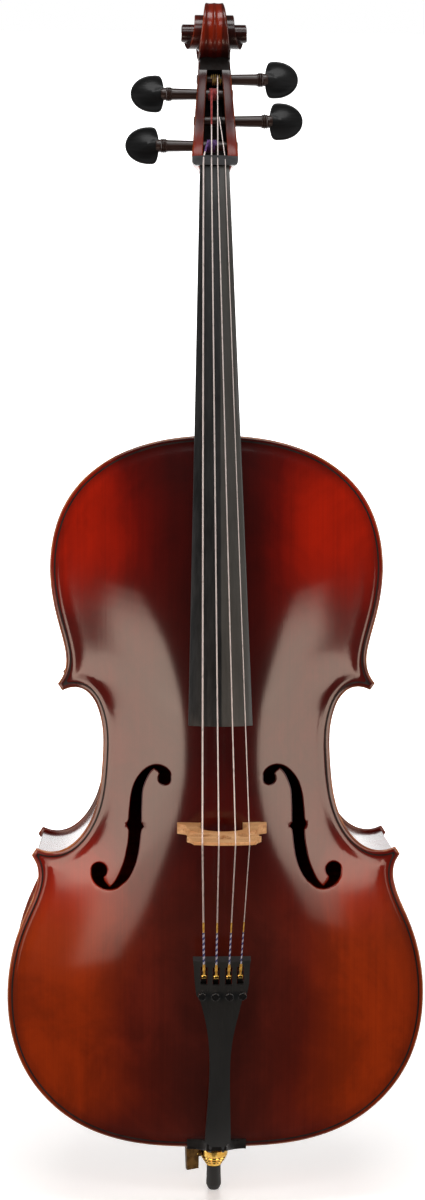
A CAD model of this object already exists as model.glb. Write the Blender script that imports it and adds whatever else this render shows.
import bpy, math
import numpy as np
from mathutils import Vector, Matrix, kdtree
from mathutils.geometry import delaunay_2d_cdt


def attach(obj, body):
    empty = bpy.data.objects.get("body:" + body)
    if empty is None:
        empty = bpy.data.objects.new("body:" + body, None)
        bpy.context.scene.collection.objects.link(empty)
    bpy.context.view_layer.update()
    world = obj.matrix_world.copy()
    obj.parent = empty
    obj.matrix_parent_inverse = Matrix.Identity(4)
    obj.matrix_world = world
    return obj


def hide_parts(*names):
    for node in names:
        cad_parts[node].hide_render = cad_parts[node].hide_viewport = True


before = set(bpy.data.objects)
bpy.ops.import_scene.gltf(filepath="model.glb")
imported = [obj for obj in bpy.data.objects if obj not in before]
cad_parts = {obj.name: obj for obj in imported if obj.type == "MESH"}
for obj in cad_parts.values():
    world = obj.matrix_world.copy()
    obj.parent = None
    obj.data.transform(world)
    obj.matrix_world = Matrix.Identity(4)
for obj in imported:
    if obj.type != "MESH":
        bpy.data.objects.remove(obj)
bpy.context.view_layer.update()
MM = 0.001
rng = np.random.default_rng(7)

# ------------------------------------------------------------------ camera
cam_d = bpy.data.cameras.new("camera")
cam = bpy.data.objects.new("camera", cam_d)
bpy.context.scene.collection.objects.link(cam)
C = Vector((-69.9, -2063.5, 782.5)) * MM
R_ = Vector((0.99947, -0.032473, 0.002113))
U_ = Vector((0.0, 0.064946, 0.997889))
F_ = Vector((0.032542, 0.997360, -0.064912))
R_.normalize()
F_.normalize()
U_ = R_.cross(F_)
m = Matrix.Identity(4)
for i in range(3):
    m[i][0], m[i][1], m[i][2], m[i][3] = R_[i], U_[i], -F_[i], C[i]
cam.matrix_world = m
cam_d.sensor_fit = 'VERTICAL'
cam_d.sensor_height = 36.0
cam_d.sensor_width = 36.0
cam_d.lens = 57.588
cam_d.clip_end = 50
bpy.context.scene.camera = cam

# ------------------------------------------------------------------ helpers
MATS = {}


def mesh_obj(name, verts, faces, mat=None, sharp=None, attrs=None, scale=MM):
    me = bpy.data.meshes.new(name)
    v = np.asarray(verts, dtype=np.float64) * scale
    me.from_pydata([tuple(p) for p in v.tolist()], [], faces)
    me.update()
    for k, val in (attrs or {}).items():
        a = me.attributes.new(k, 'FLOAT', 'POINT')
        a.data.foreach_set("value", np.asarray(val, dtype=np.float32))
    me.polygons.foreach_set("use_smooth", np.ones(len(me.polygons), dtype=bool))
    if sharp is not None:
        me.set_sharp_from_angle(angle=math.radians(sharp))
    ob = bpy.data.objects.new(name, me)
    bpy.context.scene.collection.objects.link(ob)
    if mat is not None:
        if isinstance(mat, (list, tuple)):
            for q in mat:
                me.materials.append(q)
        else:
            me.materials.append(mat)
    return ob


def put(ob, body, slot, *nodes):
    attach(ob, body)
    if nodes:
        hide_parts(*nodes)
    return ob


def recalc(ob):
    import bmesh
    bm = bmesh.new()
    bm.from_mesh(ob.data)
    bmesh.ops.recalc_face_normals(bm, faces=bm.faces)
    bm.to_mesh(ob.data)
    bm.free()
    ob.data.update()


def cspline(pts, step=None, n=None):
    """Natural cubic spline through points, resampled evenly."""
    P = np.asarray(pts, float)
    t = np.concatenate([[0], np.cumsum(np.linalg.norm(np.diff(P, axis=0), axis=1))])
    N = len(P)
    h = np.diff(t)
    A = np.zeros((N, N))
    B = np.zeros((N, P.shape[1]))
    A[0, 0] = A[-1, -1] = 1
    for i in range(1, N - 1):
        A[i, i - 1], A[i, i], A[i, i + 1] = h[i - 1], 2 * (h[i - 1] + h[i]), h[i]
        B[i] = 6 * ((P[i + 1] - P[i]) / h[i] - (P[i] - P[i - 1]) / h[i - 1])
    M = np.linalg.solve(A, B)

    def ev(x):
        x = np.asarray(x)
        k = np.clip(np.searchsorted(t, x) - 1, 0, N - 2)
        a = (t[k + 1] - x)[:, None]
        b = (x - t[k])[:, None]
        hk = h[k][:, None]
        return (M[k] * a ** 3 + M[k + 1] * b ** 3) / (6 * hk) + (P[k] / hk - M[k] * hk / 6) * a + (P[k + 1] / hk - M[k + 1] * hk / 6) * b
    f = ev(np.linspace(0, t[-1], 60 * N))
    s = np.concatenate([[0], np.cumsum(np.linalg.norm(np.diff(f, axis=0), axis=1))])
    if n is None:
        n = max(int(round(s[-1] / step)), 2) + 1
    u = np.interp(np.linspace(0, s[-1], n), s, np.linspace(0, t[-1], 60 * N))
    return ev(u)


def smooth(x, a, b):
    t = np.clip((np.asarray(x, float) - a) / (b - a), 0, 1)
    return t * t * (3 - 2 * t)


def pip(pts, poly):
    """Points inside a closed polygon."""
    x, y = pts[:, 0], pts[:, 1]
    c = np.zeros(len(pts), bool)
    P = np.asarray(poly)
    Q = np.roll(P, -1, axis=0)
    for (x0, y0), (x1, y1) in zip(P, Q):
        if y0 == y1:
            continue
        k = (y0 > y) != (y1 > y)
        c ^= k & (x < (x1 - x0) * (y - y0) / (y1 - y0) + x0)
    return c


def nearest(pts, ref):
    """Distance from each point to the polyline vertices ref."""
    kd = kdtree.KDTree(len(ref))
    for i, p in enumerate(ref):
        kd.insert((p[0], p[1], 0), i)
    kd.balance()
    return np.array([kd.find((p[0], p[1], 0))[2] for p in pts])


def densify(loop, step):
    L = np.asarray(loop)
    out = []
    for a, b in zip(L, np.roll(L, -1, axis=0)):
        k = max(int(math.ceil(np.linalg.norm(b - a) / step)), 1)
        for i in range(k):
            out.append(a + (b - a) * i / k)
    return np.array(out)


def triangulate(pts, loops):
    """Constrained Delaunay triangles of pts plus closed loops."""
    P = []
    E = []
    for L in loops:
        b = len(P)
        P += [tuple(p) for p in L]
        E += [(b + i, b + (i + 1) % len(L)) for i in range(len(L))]
    P += [tuple(p) for p in pts]
    r = delaunay_2d_cdt([Vector(p) for p in P], E, [], 0, 1e-4)
    V2 = np.array([(p[0], p[1]) for p in r[0]])
    T = np.array([f for f in r[2] if len(f) == 3])
    return V2, T


def boundary_edges(T):
    e = np.concatenate([T[:, [0, 1]], T[:, [1, 2]], T[:, [2, 0]]])
    key = {}
    for a, b in e:
        key[(a, b)] = 1
    return [(a, b) for a, b in key if (b, a) not in key]


# ------------------------------------------------------------------ outline
Z_BODY, BODY_LEN = 69.0, 754.9
RIB_HALF, EDGE_T, OVERHANG, RIB_T = 59.0, 4.5, 3.5, 1.5
TOP_ARCH, BACK_ARCH = 21.9, 24.9
LOWER = [(0.0, -0.6), (38.7, 0.1), (67.9, 2.1), (92.5, 6.0), (113.9, 11.7), (132.9, 19.1), (149.8, 28.3), (165.1, 39.3), (179.1, 52.4), (191.4, 67.1), (201.4, 82.8), (209.3, 99.8), (215.1, 118.3), (218.9, 138.3), (220.4, 159.7), (219.7, 181.8), (216.7, 203.5), (211.4, 224.7), (203.6, 245.7), (192.4, 271.7), (188.4, 285.8), (187.7, 296.5), (189.7, 305.6), (194.5, 314.1)]
WAIST = [(189.2, 322.2), (180.0, 318.9), (171.2, 318.3), (162.6, 320.0), (154.2, 324.3), (145.9, 331.4), (138.1, 341.3), (131.4, 353.7), (126.3, 368.0), (122.7, 385.2), (120.0, 412.2), (119.1, 435.7), (120.3, 452.4), (123.5, 466.5), (127.9, 477.3), (133.3, 484.7), (139.3, 489.4), (146.0, 491.5), (153.4, 491.2), (161.7, 488.2)]
UPPER = [(166.5, 495.5), (161.6, 502.7), (158.7, 510.6), (157.6, 519.7), (158.6, 530.8), (162.5, 547.8), (169.2, 573.8), (172.6, 593.5), (174.1, 611.6), (173.7, 628.6), (171.6, 645.0), (167.8, 660.6), (162.6, 674.9), (155.9, 687.7), (147.8, 699.4), (137.9, 710.3), (126.3, 720.2), (113.3, 729.1), (98.7, 736.7), (82.6, 743.0), (64.8, 748.1), (45.2, 751.8), (23.7, 754.1), (0.0, 754.9)]


def dense(pts, mirror, step=2.0):
    full = list(pts)
    if mirror == "start":
        full = [(-a, b) for a, b in pts[:0:-1]] + full
    if mirror == "end":
        full = full + [(-a, b) for a, b in pts[-2::-1]]
    c = cspline(full, step)
    if mirror == "start":
        c = c[c[:, 0] > 0.8]
        c = np.vstack([[0.0, pts[0][1]], c[np.argsort(np.arange(len(c)))]])
    if mirror == "end":
        k = np.argmax(c[:, 0] <= 0.8)
        c = np.vstack([c[:k], [0.0, pts[-1][1]]])
    return c


def first_from(c):
    return c


def offs(pl, d):
    a = np.roll(pl, 1, axis=0)
    b = np.roll(pl, -1, axis=0)
    a[0], b[-1] = pl[0], pl[-1]
    t = b - a
    t /= np.linalg.norm(t, axis=1)[:, None]
    return pl + d * np.stack([-t[:, 1], t[:, 0]], 1)


def ext(pl, s, e, by=12.0):
    pl = pl.copy()
    if s:
        u = pl[0] - pl[1]
        pl = np.vstack([pl[0] + u / np.linalg.norm(u) * by, pl])
    if e:
        u = pl[-1] - pl[-2]
        pl = np.vstack([pl, pl[-1] + u / np.linalg.norm(u) * by])
    return pl


def hit(A, B, last):
    idx = range(len(A) - 2, -1, -1) if last else range(len(A) - 1)
    r, s = B[:-1], B[1:]
    for i in idx:
        p, q = A[i], A[i + 1]
        den = (q[0] - p[0]) * (s[:, 1] - r[:, 1]) - (q[1] - p[1]) * (s[:, 0] - r[:, 0])
        den = np.where(abs(den) < 1e-12, 1e-12, den)
        t = ((r[:, 0] - p[0]) * (s[:, 1] - r[:, 1]) - (r[:, 1] - p[1]) * (s[:, 0] - r[:, 0])) / den
        u = ((r[:, 0] - p[0]) * (q[1] - p[1]) - (r[:, 1] - p[1]) * (q[0] - p[0])) / den
        k = np.where((t >= -1e-9) & (t <= 1 + 1e-9) & (u >= -1e-9) & (u <= 1 + 1e-9))[0]
        if len(k):
            j = k[0]
            return i, j, p + t[j] * (q - p)
    return None


LOW_D, WST_D, UPP_D = dense(LOWER, "start"), dense(WAIST, None), dense(UPPER, "end")


def half_outline(d):
    if d < 1e-6:
        return LOW_D, WST_D, UPP_D
    L = ext(offs(LOW_D, d), False, True)
    W = ext(offs(WST_D, d), True, True)
    U = ext(offs(UPP_D, d), True, False)
    L[0, 0] = 0.0
    U[-1, 0] = 0.0

    def corner(A, B, pa, pb):
        tip = ext(offs(np.array([pa, pb]), d), True, True, 14.0)
        ia, ib, h = hit(A, tip, True), hit(B, tip, False), hit(A, B, False)
        use = ia is not None and ib is not None
        if use and h is not None and (ia[0] > h[0] or (ia[0] == h[0] and ib[0] <= h[1])):
            use = False
        if use:
            return np.vstack([A[:ia[0] + 1], ia[2]]), np.vstack([ib[2], B[ib[0] + 1:]])
        return np.vstack([A[:h[0] + 1], h[2]]), np.vstack([h[2], B[h[1] + 1:]])
    L2, W2 = corner(L, W, LOWER[-1], WAIST[0])
    W3, U2 = corner(W2, U, WAIST[-1], UPPER[0])
    return L2, W3, U2


def full_loop(d, button=False):
    L, W, U = half_outline(d)
    if button:
        r = 17.0 - d
        k = U[:, 0] > r
        zt = np.interp(r, U[::-1, 0], U[::-1, 1])
        U2 = [p for p in U[k]] + [np.array([r, zt])]
        zc = BODY_LEN + 5.0
        for q in np.linspace(zt, zc, 4)[1:]:
            U2.append(np.array([r, q]))
        for a in np.linspace(0, math.pi / 2, 12)[1:]:
            U2.append(np.array([r * math.cos(a), zc + r * math.sin(a)]))
        U = np.array(U2)
        U[-1, 0] = 0.0
    h = np.vstack([L, W, U])
    keep = [0]
    for i in range(1, len(h)):
        if np.linalg.norm(h[i] - h[keep[-1]]) > 0.25:
            keep.append(i)
    h = h[keep]
    left = h[1:-1][::-1] * np.array([-1, 1])
    lp = np.vstack([h, left])
    return lp + np.array([0, Z_BODY])


# ------------------------------------------------------------------ f-holes
F_UP_EYE, F_UP_R = (-54.7, 467.0), 6.7
F_LO_EYE, F_LO_R = (-123.2, 368.6), 8.5
F_OUT = [(-48.3, 467.1), (-48.9, 473.2), (-52.7, 477.7), (-58.2, 480.5), (-63.6, 481.0), (-68.6, 479.9), (-73.6, 477.2), (-78.1, 473.2), (-82.1, 468.3), (-85.6, 462.2), (-88.1, 455.2), (-89.8, 447.2), (-90.8, 439.1), (-91.6, 431.0), (-92.1, 423.0)]
F_NOTCH1 = (-94.6, 417.6)
F_OUT2 = [(-91.9, 412.0), (-92.4, 401.8), (-93.8, 392.7), (-95.4, 384.6), (-97.6, 376.5), (-100.8, 368.5), (-104.7, 360.5), (-108.2, 355.5), (-112.2, 351.9)]
F_LOW = [(-112.2, 351.9), (-115.6, 355.6), (-117.6, 358.2)]
F_IN = [(-131.6, 367.2), (-131.2, 362.4), (-129.2, 357.6), (-126.0, 353.4), (-121.7, 350.5), (-116.7, 348.6), (-111.2, 348.6), (-105.7, 349.9), (-99.6, 354.3), (-94.1, 359.3), (-89.6, 365.9), (-86.1, 373.4), (-83.6, 381.5), (-81.8, 390.6), (-80.6, 399.7), (-79.6, 408.4), (-79.0, 412.4)]
F_NOTCH2 = (-76.0, 415.9)
F_IN2 = [(-78.9, 419.9), (-78.9, 425.5), (-78.8, 435.5), (-78.4, 445.6), (-77.6, 454.7), (-75.6, 461.7), (-72.6, 468.7), (-69.6, 473.7), (-65.8, 477.6)]
F_UPV = [(-65.8, 477.6), (-62.5, 475.0), (-60.4, 473.0)]


def f_loop(side):
    """One closed loop round an f-hole, with both eyes."""
    def arc(c, r, p0, p1, ccw):
        a0 = math.atan2(p0[1] - c[1], p0[0] - c[0])
        a1 = math.atan2(p1[1] - c[1], p1[0] - c[0])
        if ccw and a1 < a0:
            a1 += 2 * math.pi
        if not ccw and a1 > a0:
            a1 -= 2 * math.pi
        n = max(int(abs(a1 - a0) * r / 1.0), 4)
        return [(c[0] + r * math.cos(a), c[1] + r * math.sin(a)) for a in np.linspace(a0, a1, n)]
    out = [tuple(p) for p in cspline(F_OUT, 1.2)]
    out += [F_NOTCH1]
    out += [tuple(p) for p in cspline(F_OUT2, 1.2)]
    out += F_LOW[1:]
    out += arc(F_LO_EYE, F_LO_R, F_LOW[-1], F_IN[0], True)[1:]
    out += [tuple(p) for p in cspline(F_IN, 1.2)][1:]
    out += [F_NOTCH2]
    out += [tuple(p) for p in cspline(F_IN2, 1.2)]
    out += F_UPV[1:]
    out += arc(F_UP_EYE, F_UP_R, F_UPV[-1], F_OUT[0], True)[1:-1]
    P = np.array(out)
    if side > 0:
        P = P * np.array([-1, 1])
        P = P[::-1]
    return P


# ------------------------------------------------------------------ plates
def fem_torsion(V2, T, fixed):
    """Membrane over the triangles, zero at the fixed points."""
    n = len(V2)
    a, b, c = V2[T[:, 0]], V2[T[:, 1]], V2[T[:, 2]]
    area2 = (b[:, 0] - a[:, 0]) * (c[:, 1] - a[:, 1]) - (b[:, 1] - a[:, 1]) * (c[:, 0] - a[:, 0])
    ok = abs(area2) > 1e-6
    T, a, b, c, area2 = T[ok], a[ok], b[ok], c[ok], abs(area2[ok])
    I, J, W = [], [], []
    for (i, j, k), (p, q, r) in (((0, 1, 2), (a, b, c)), ((1, 2, 0), (b, c, a)), ((2, 0, 1), (c, a, b))):
        u, w = p - r, q - r
        cot = (u * w).sum(1) / area2
        I.append(T[:, i]); J.append(T[:, j]); W.append(0.5 * cot)
    I, J, W = np.concatenate(I), np.concatenate(J), np.concatenate(W)
    I2, J2, W2 = np.concatenate([I, J]), np.concatenate([J, I]), np.concatenate([W, W])
    diag = np.bincount(I2, W2, n)
    rhs = np.bincount(T.ravel(), np.repeat(area2 / 6, 3), n)
    free = ~fixed & (diag > 0)

    def A(x):
        return diag * x - np.bincount(I2, W2 * x[J2], n)
    x = np.zeros(n)
    r = np.where(free, rhs, 0.0)
    Mi = np.where(free, 1.0 / np.where(diag > 0, diag, 1), 0.0)
    z = Mi * r
    p = z.copy()
    rz = (r * z).sum()
    for it in range(1500):
        Ap = np.where(free, A(p), 0.0)
        al = rz / (p * Ap).sum()
        x += al * p
        r -= al * Ap
        z = Mi * r
        rz2 = (r * z).sum()
        if rz2 < 1e-14 * max(1.0, (rhs ** 2).sum()):
            break
        p = z + rz2 / rz * p
        rz = rz2
    return x


PURF = (4.2, 4.75, 5.35, 5.9)


def make_plate(sign, arch, grid, holes, button):
    outer = full_loop(0.0, button)
    purf_loops = [full_loop(d) if not button else full_loop(d) for d in PURF]
    rings = [full_loop(d, button) for d in (0.35, 0.9, 1.7, 2.7)] + [full_loop(d) for d in (7.6, 10.5, 14.0)]
    X, Z = np.meshgrid(np.arange(-226, 226.1, grid), np.arange(60, 850, grid * 0.866))
    X[1::2] += grid / 2
    G = np.stack([X.ravel(), Z.ravel()], 1)
    inner = full_loop(16.0)
    G = G[pip(G, inner)]
    if len(holes):
        hd = np.concatenate([densify(h, 1.0) for h in holes])
        dn = nearest(G, hd)
        G = G[dn > 2.0]
        near = []
        for h in holes:
            H = np.asarray(h)
            t = np.roll(H, -1, axis=0) - np.roll(H, 1, axis=0)
            t /= np.linalg.norm(t, axis=1)[:, None]
            nrm = np.stack([t[:, 1], -t[:, 0]], 1)
            for k in (0.55, 1.3):
                for s in (1, -1):
                    q = H + s * k * nrm
                    dd = nearest(q, hd)
                    near.append(q[dd > 0.75 * k])
        G = np.vstack([G] + near)
    mid = np.stack([np.zeros(180), np.linspace(72, 820, 180)], 1)
    G = np.vstack([G] + rings + [mid])
    V2, T = triangulate(G, [outer] + purf_loops + [np.asarray(h) for h in holes])
    cen = V2[T].mean(axis=1)
    T = T[pip(cen, outer)]
    a, b, c = V2[T[:, 0]], V2[T[:, 1]], V2[T[:, 2]]
    ar = (b[:, 0] - a[:, 0]) * (c[:, 1] - a[:, 1]) - (b[:, 1] - a[:, 1]) * (c[:, 0] - a[:, 0])
    T = np.where((ar < 0)[:, None], T[:, ::-1], T)
    d = nearest(V2, densify(outer, 0.5))
    fixed = d < 0.05
    u = fem_torsion(V2, T, fixed)
    onmid = np.where((abs(V2[:, 0]) < 0.02))[0]
    o = onmid[np.argsort(V2[onmid, 1])]
    uc = np.interp(V2[:, 1], V2[o, 1], np.maximum(u[o], 1e-3))
    q = np.clip(u / uc, 0, 1)
    e = np.clip(np.minimum(V2[:, 1] - Z_BODY, BODY_LEN + Z_BODY - V2[:, 1]) / (0.5 * BODY_LEN), 0, 1)
    la = (1 - (1 - e) ** 4.6) ** 1.35
    h = arch * la * q ** 1.45
    h -= 0.75 * np.exp(-((d - 9.0) / 4.2) ** 2) * smooth(d, 2.5, 6.0)
    rr = 2.3
    k = np.clip(1 - d / rr, 0, 1)
    top_drop = 1.9 * (1 - np.sqrt(np.clip(1 - k ** 2, 0, 1)))
    h_top = h - top_drop
    bot = 1.7 * (1 - np.sqrt(np.clip(1 - k ** 2, 0, 1)))
    if len(holes):
        df = nearest(V2, hd)
        kk = np.clip(1 - df / 0.9, 0, 1)
        h_top = h_top - 0.35 * kk ** 2
        cen = V2[T].mean(axis=1)
        inside = np.zeros(len(T), bool)
        for hl in holes:
            inside |= pip(cen, hl)
        Tk = T[~inside]
    else:
        Tk = T
    thick = 4.4
    y_out = RIB_HALF + EDGE_T + h_top
    y_in = np.where(d < 11, RIB_HALF + bot, 0)
    w = smooth(d, 10.5, 15.5)
    y_in = (RIB_HALF + bot) * (1 - w) + (RIB_HALF + EDGE_T + h - thick) * w
    # purfling band becomes its own piece
    dt = d[Tk].mean(axis=1)
    band = (dt > PURF[0] - 0.02) & (dt < PURF[3] + 0.02)
    if button:
        band &= ~((abs(V2[Tk][:, :, 0]).mean(axis=1) < 17.5) & (V2[Tk][:, :, 1].mean(axis=1) > Z_BODY + BODY_LEN - 1.5))
    n = len(V2)
    up = np.stack([V2[:, 0], sign * y_out, V2[:, 1]], 1)
    lo = np.stack([V2[:, 0], sign * y_in, V2[:, 1]], 1)
    Tp = Tk[~band]
    be = boundary_edges(Tk)
    flip = sign > 0
    faces = []

    def add(f):
        faces.append(tuple(int(i) for i in (f[::-1] if flip else f)))
    for t in Tp:
        add((t[0], t[1], t[2]))
    for t in Tk:
        add((t[2] + n, t[1] + n, t[0] + n))
    for p, s in be:
        add((s, p, p + n, s + n))
    Vall = np.vstack([up, lo])
    att = {"d_edge": np.concatenate([d, d]), "arch": np.concatenate([q, q])}
    # purfling strip
    bt = Tk[band]
    ids = np.unique(bt)
    mp = -np.ones(n, int)
    mp[ids] = np.arange(len(ids))
    bf = [tuple(int(v) for v in (mp[t][::-1] if flip else mp[t])) for t in bt]
    pv = up[ids].copy()
    return Vall, faces, att, pv, bf, d[ids], (V2, h)


holes = [f_loop(-1), f_loop(1)]
topV, topF, topA, ptV, ptF, ptD, (TOP2D, TOPH) = make_plate(-1, TOP_ARCH, 4.2, holes, False)
bakV, bakF, bakA, pbV, pbF, pbD, _ = make_plate(1, BACK_ARCH, 5.0, [], True)
kd_top = kdtree.KDTree(len(TOP2D))
for i, p in enumerate(TOP2D):
    kd_top.insert((p[0], p[1], 0), i)
kd_top.balance()


def y_top(x, z):
    """Y of the top plate's outside, in mm."""
    r = kd_top.find_n((x, z, 0), 4)
    w = [1.0 / (q[2] + 0.05) for q in r]
    h = sum(TOPH[q[1]] * k for q, k in zip(r, w)) / sum(w)
    return -(RIB_HALF + EDGE_T + h)

# ------------------------------------------------------------------ materials
class Mat:
    """Small node-tree builder."""

    def __init__(self, name):
        self.m = bpy.data.materials.new(name)
        self.m.use_nodes = True
        self.t = self.m.node_tree
        self.t.nodes.clear()
        self.out = self.t.nodes.new("ShaderNodeOutputMaterial")
        self.b = self.t.nodes.new("ShaderNodeBsdfPrincipled")
        self.t.links.new(self.b.outputs[0], self.out.inputs[0])
        self.co = self.t.nodes.new("ShaderNodeTexCoord").outputs["Object"]

    def n(self, kind, **kw):
        nd = self.t.nodes.new(kind)
        for k, v in kw.items():
            setattr(nd, k, v)
        return nd

    def put(self, sock, v):
        if isinstance(v, bpy.types.NodeSocket):
            self.t.links.new(v, sock)
        elif isinstance(v, (tuple, list)) and len(v) == 3 and sock.type == 'RGBA':
            sock.default_value = (*v, 1.0)
        else:
            sock.default_value = v

    def math(self, op, a, b=0.0, c=None, clamp=False):
        nd = self.n("ShaderNodeMath", operation=op, use_clamp=clamp)
        self.put(nd.inputs[0], a)
        self.put(nd.inputs[1], b)
        if c is not None:
            self.put(nd.inputs[2], c)
        return nd.outputs[0]

    def mix(self, f, a, b, mode='MIX'):
        nd = self.n("ShaderNodeMix", data_type='RGBA', blend_type=mode)
        self.put(nd.inputs[0], f)
        self.put(nd.inputs[6], a)
        self.put(nd.inputs[7], b)
        return nd.outputs[2]

    def scale(self, v, s, rot=None):
        nd = self.n("ShaderNodeMapping")
        self.put(nd.inputs[0], v)
        nd.inputs[3].default_value = s
        if rot:
            nd.inputs[2].default_value = rot
        return nd.outputs[0]

    def noise(self, s, detail=3.0, rough=0.55, dist=0.0, rot=None, co=None):
        nd = self.n("ShaderNodeTexNoise")
        self.put(nd.inputs["Vector"], self.scale(co or self.co, s, rot))
        nd.inputs["Scale"].default_value = 1.0
        nd.inputs["Detail"].default_value = detail
        nd.inputs["Roughness"].default_value = rough
        nd.inputs["Distortion"].default_value = dist
        return nd.outputs[0]

    def rng(self, v, a, b, c=0.0, d=1.0, smooth=True):
        nd = self.n("ShaderNodeMapRange")
        nd.interpolation_type = 'SMOOTHSTEP' if smooth else 'LINEAR'
        nd.clamp = True
        self.put(nd.inputs[0], v)
        nd.inputs[1].default_value = a
        nd.inputs[2].default_value = b
        nd.inputs[3].default_value = c
        nd.inputs[4].default_value = d
        return nd.outputs[0]

    def attr(self, name):
        nd = self.n("ShaderNodeAttribute")
        nd.attribute_name = name
        return nd.outputs["Fac"]

    def xyz(self, v=None):
        nd = self.n("ShaderNodeSeparateXYZ")
        self.put(nd.inputs[0], v or self.co)
        return nd.outputs

    def bump(self, h, dist, strength=1.0, normal=None):
        nd = self.n("ShaderNodeBump")
        nd.inputs["Strength"].default_value = strength
        nd.inputs["Distance"].default_value = dist
        self.put(nd.inputs["Height"], h)
        if normal is not None:
            self.put(nd.inputs["Normal"], normal)
        return nd.outputs[0]

    def done(self, color=None, rough=None, metal=0.0, spec=0.5, coat=0.0, coat_r=0.1, normal=None, coat_n=None, ior=1.5, sheen=0.0):
        b = self.b
        if color is not None:
            self.put(b.inputs["Base Color"], color)
        if rough is not None:
            self.put(b.inputs["Roughness"], rough)
        b.inputs["Metallic"].default_value = metal
        b.inputs["Specular IOR Level"].default_value = spec
        b.inputs["IOR"].default_value = ior
        b.inputs["Coat Weight"].default_value = coat
        b.inputs["Coat Roughness"].default_value = coat_r
        b.inputs["Coat IOR"].default_value = 1.5
        b.inputs["Sheen Weight"].default_value = sheen
        if normal is not None:
            self.put(b.inputs["Normal"], normal)
        if coat_n is not None:
            self.put(b.inputs["Coat Normal"], coat_n)
        return self.m


def lin(r, g, b):
    f = lambda c: (c / 255 / 12.92) if c / 255 <= 0.04045 else ((c / 255 + 0.055) / 1.055) ** 2.4
    return (f(r), f(g), f(b))


DEEP_UP, MID_UP, FLANK_UP = lin(64, 5, 2), lin(104, 9, 1), lin(164, 26, 2)
DEEP_LOW, MID_LOW, FLANK_LOW = lin(80, 25, 16), lin(102, 28, 12), lin(148, 46, 4)
GOLD_EDGE = lin(196, 122, 66)


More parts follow.
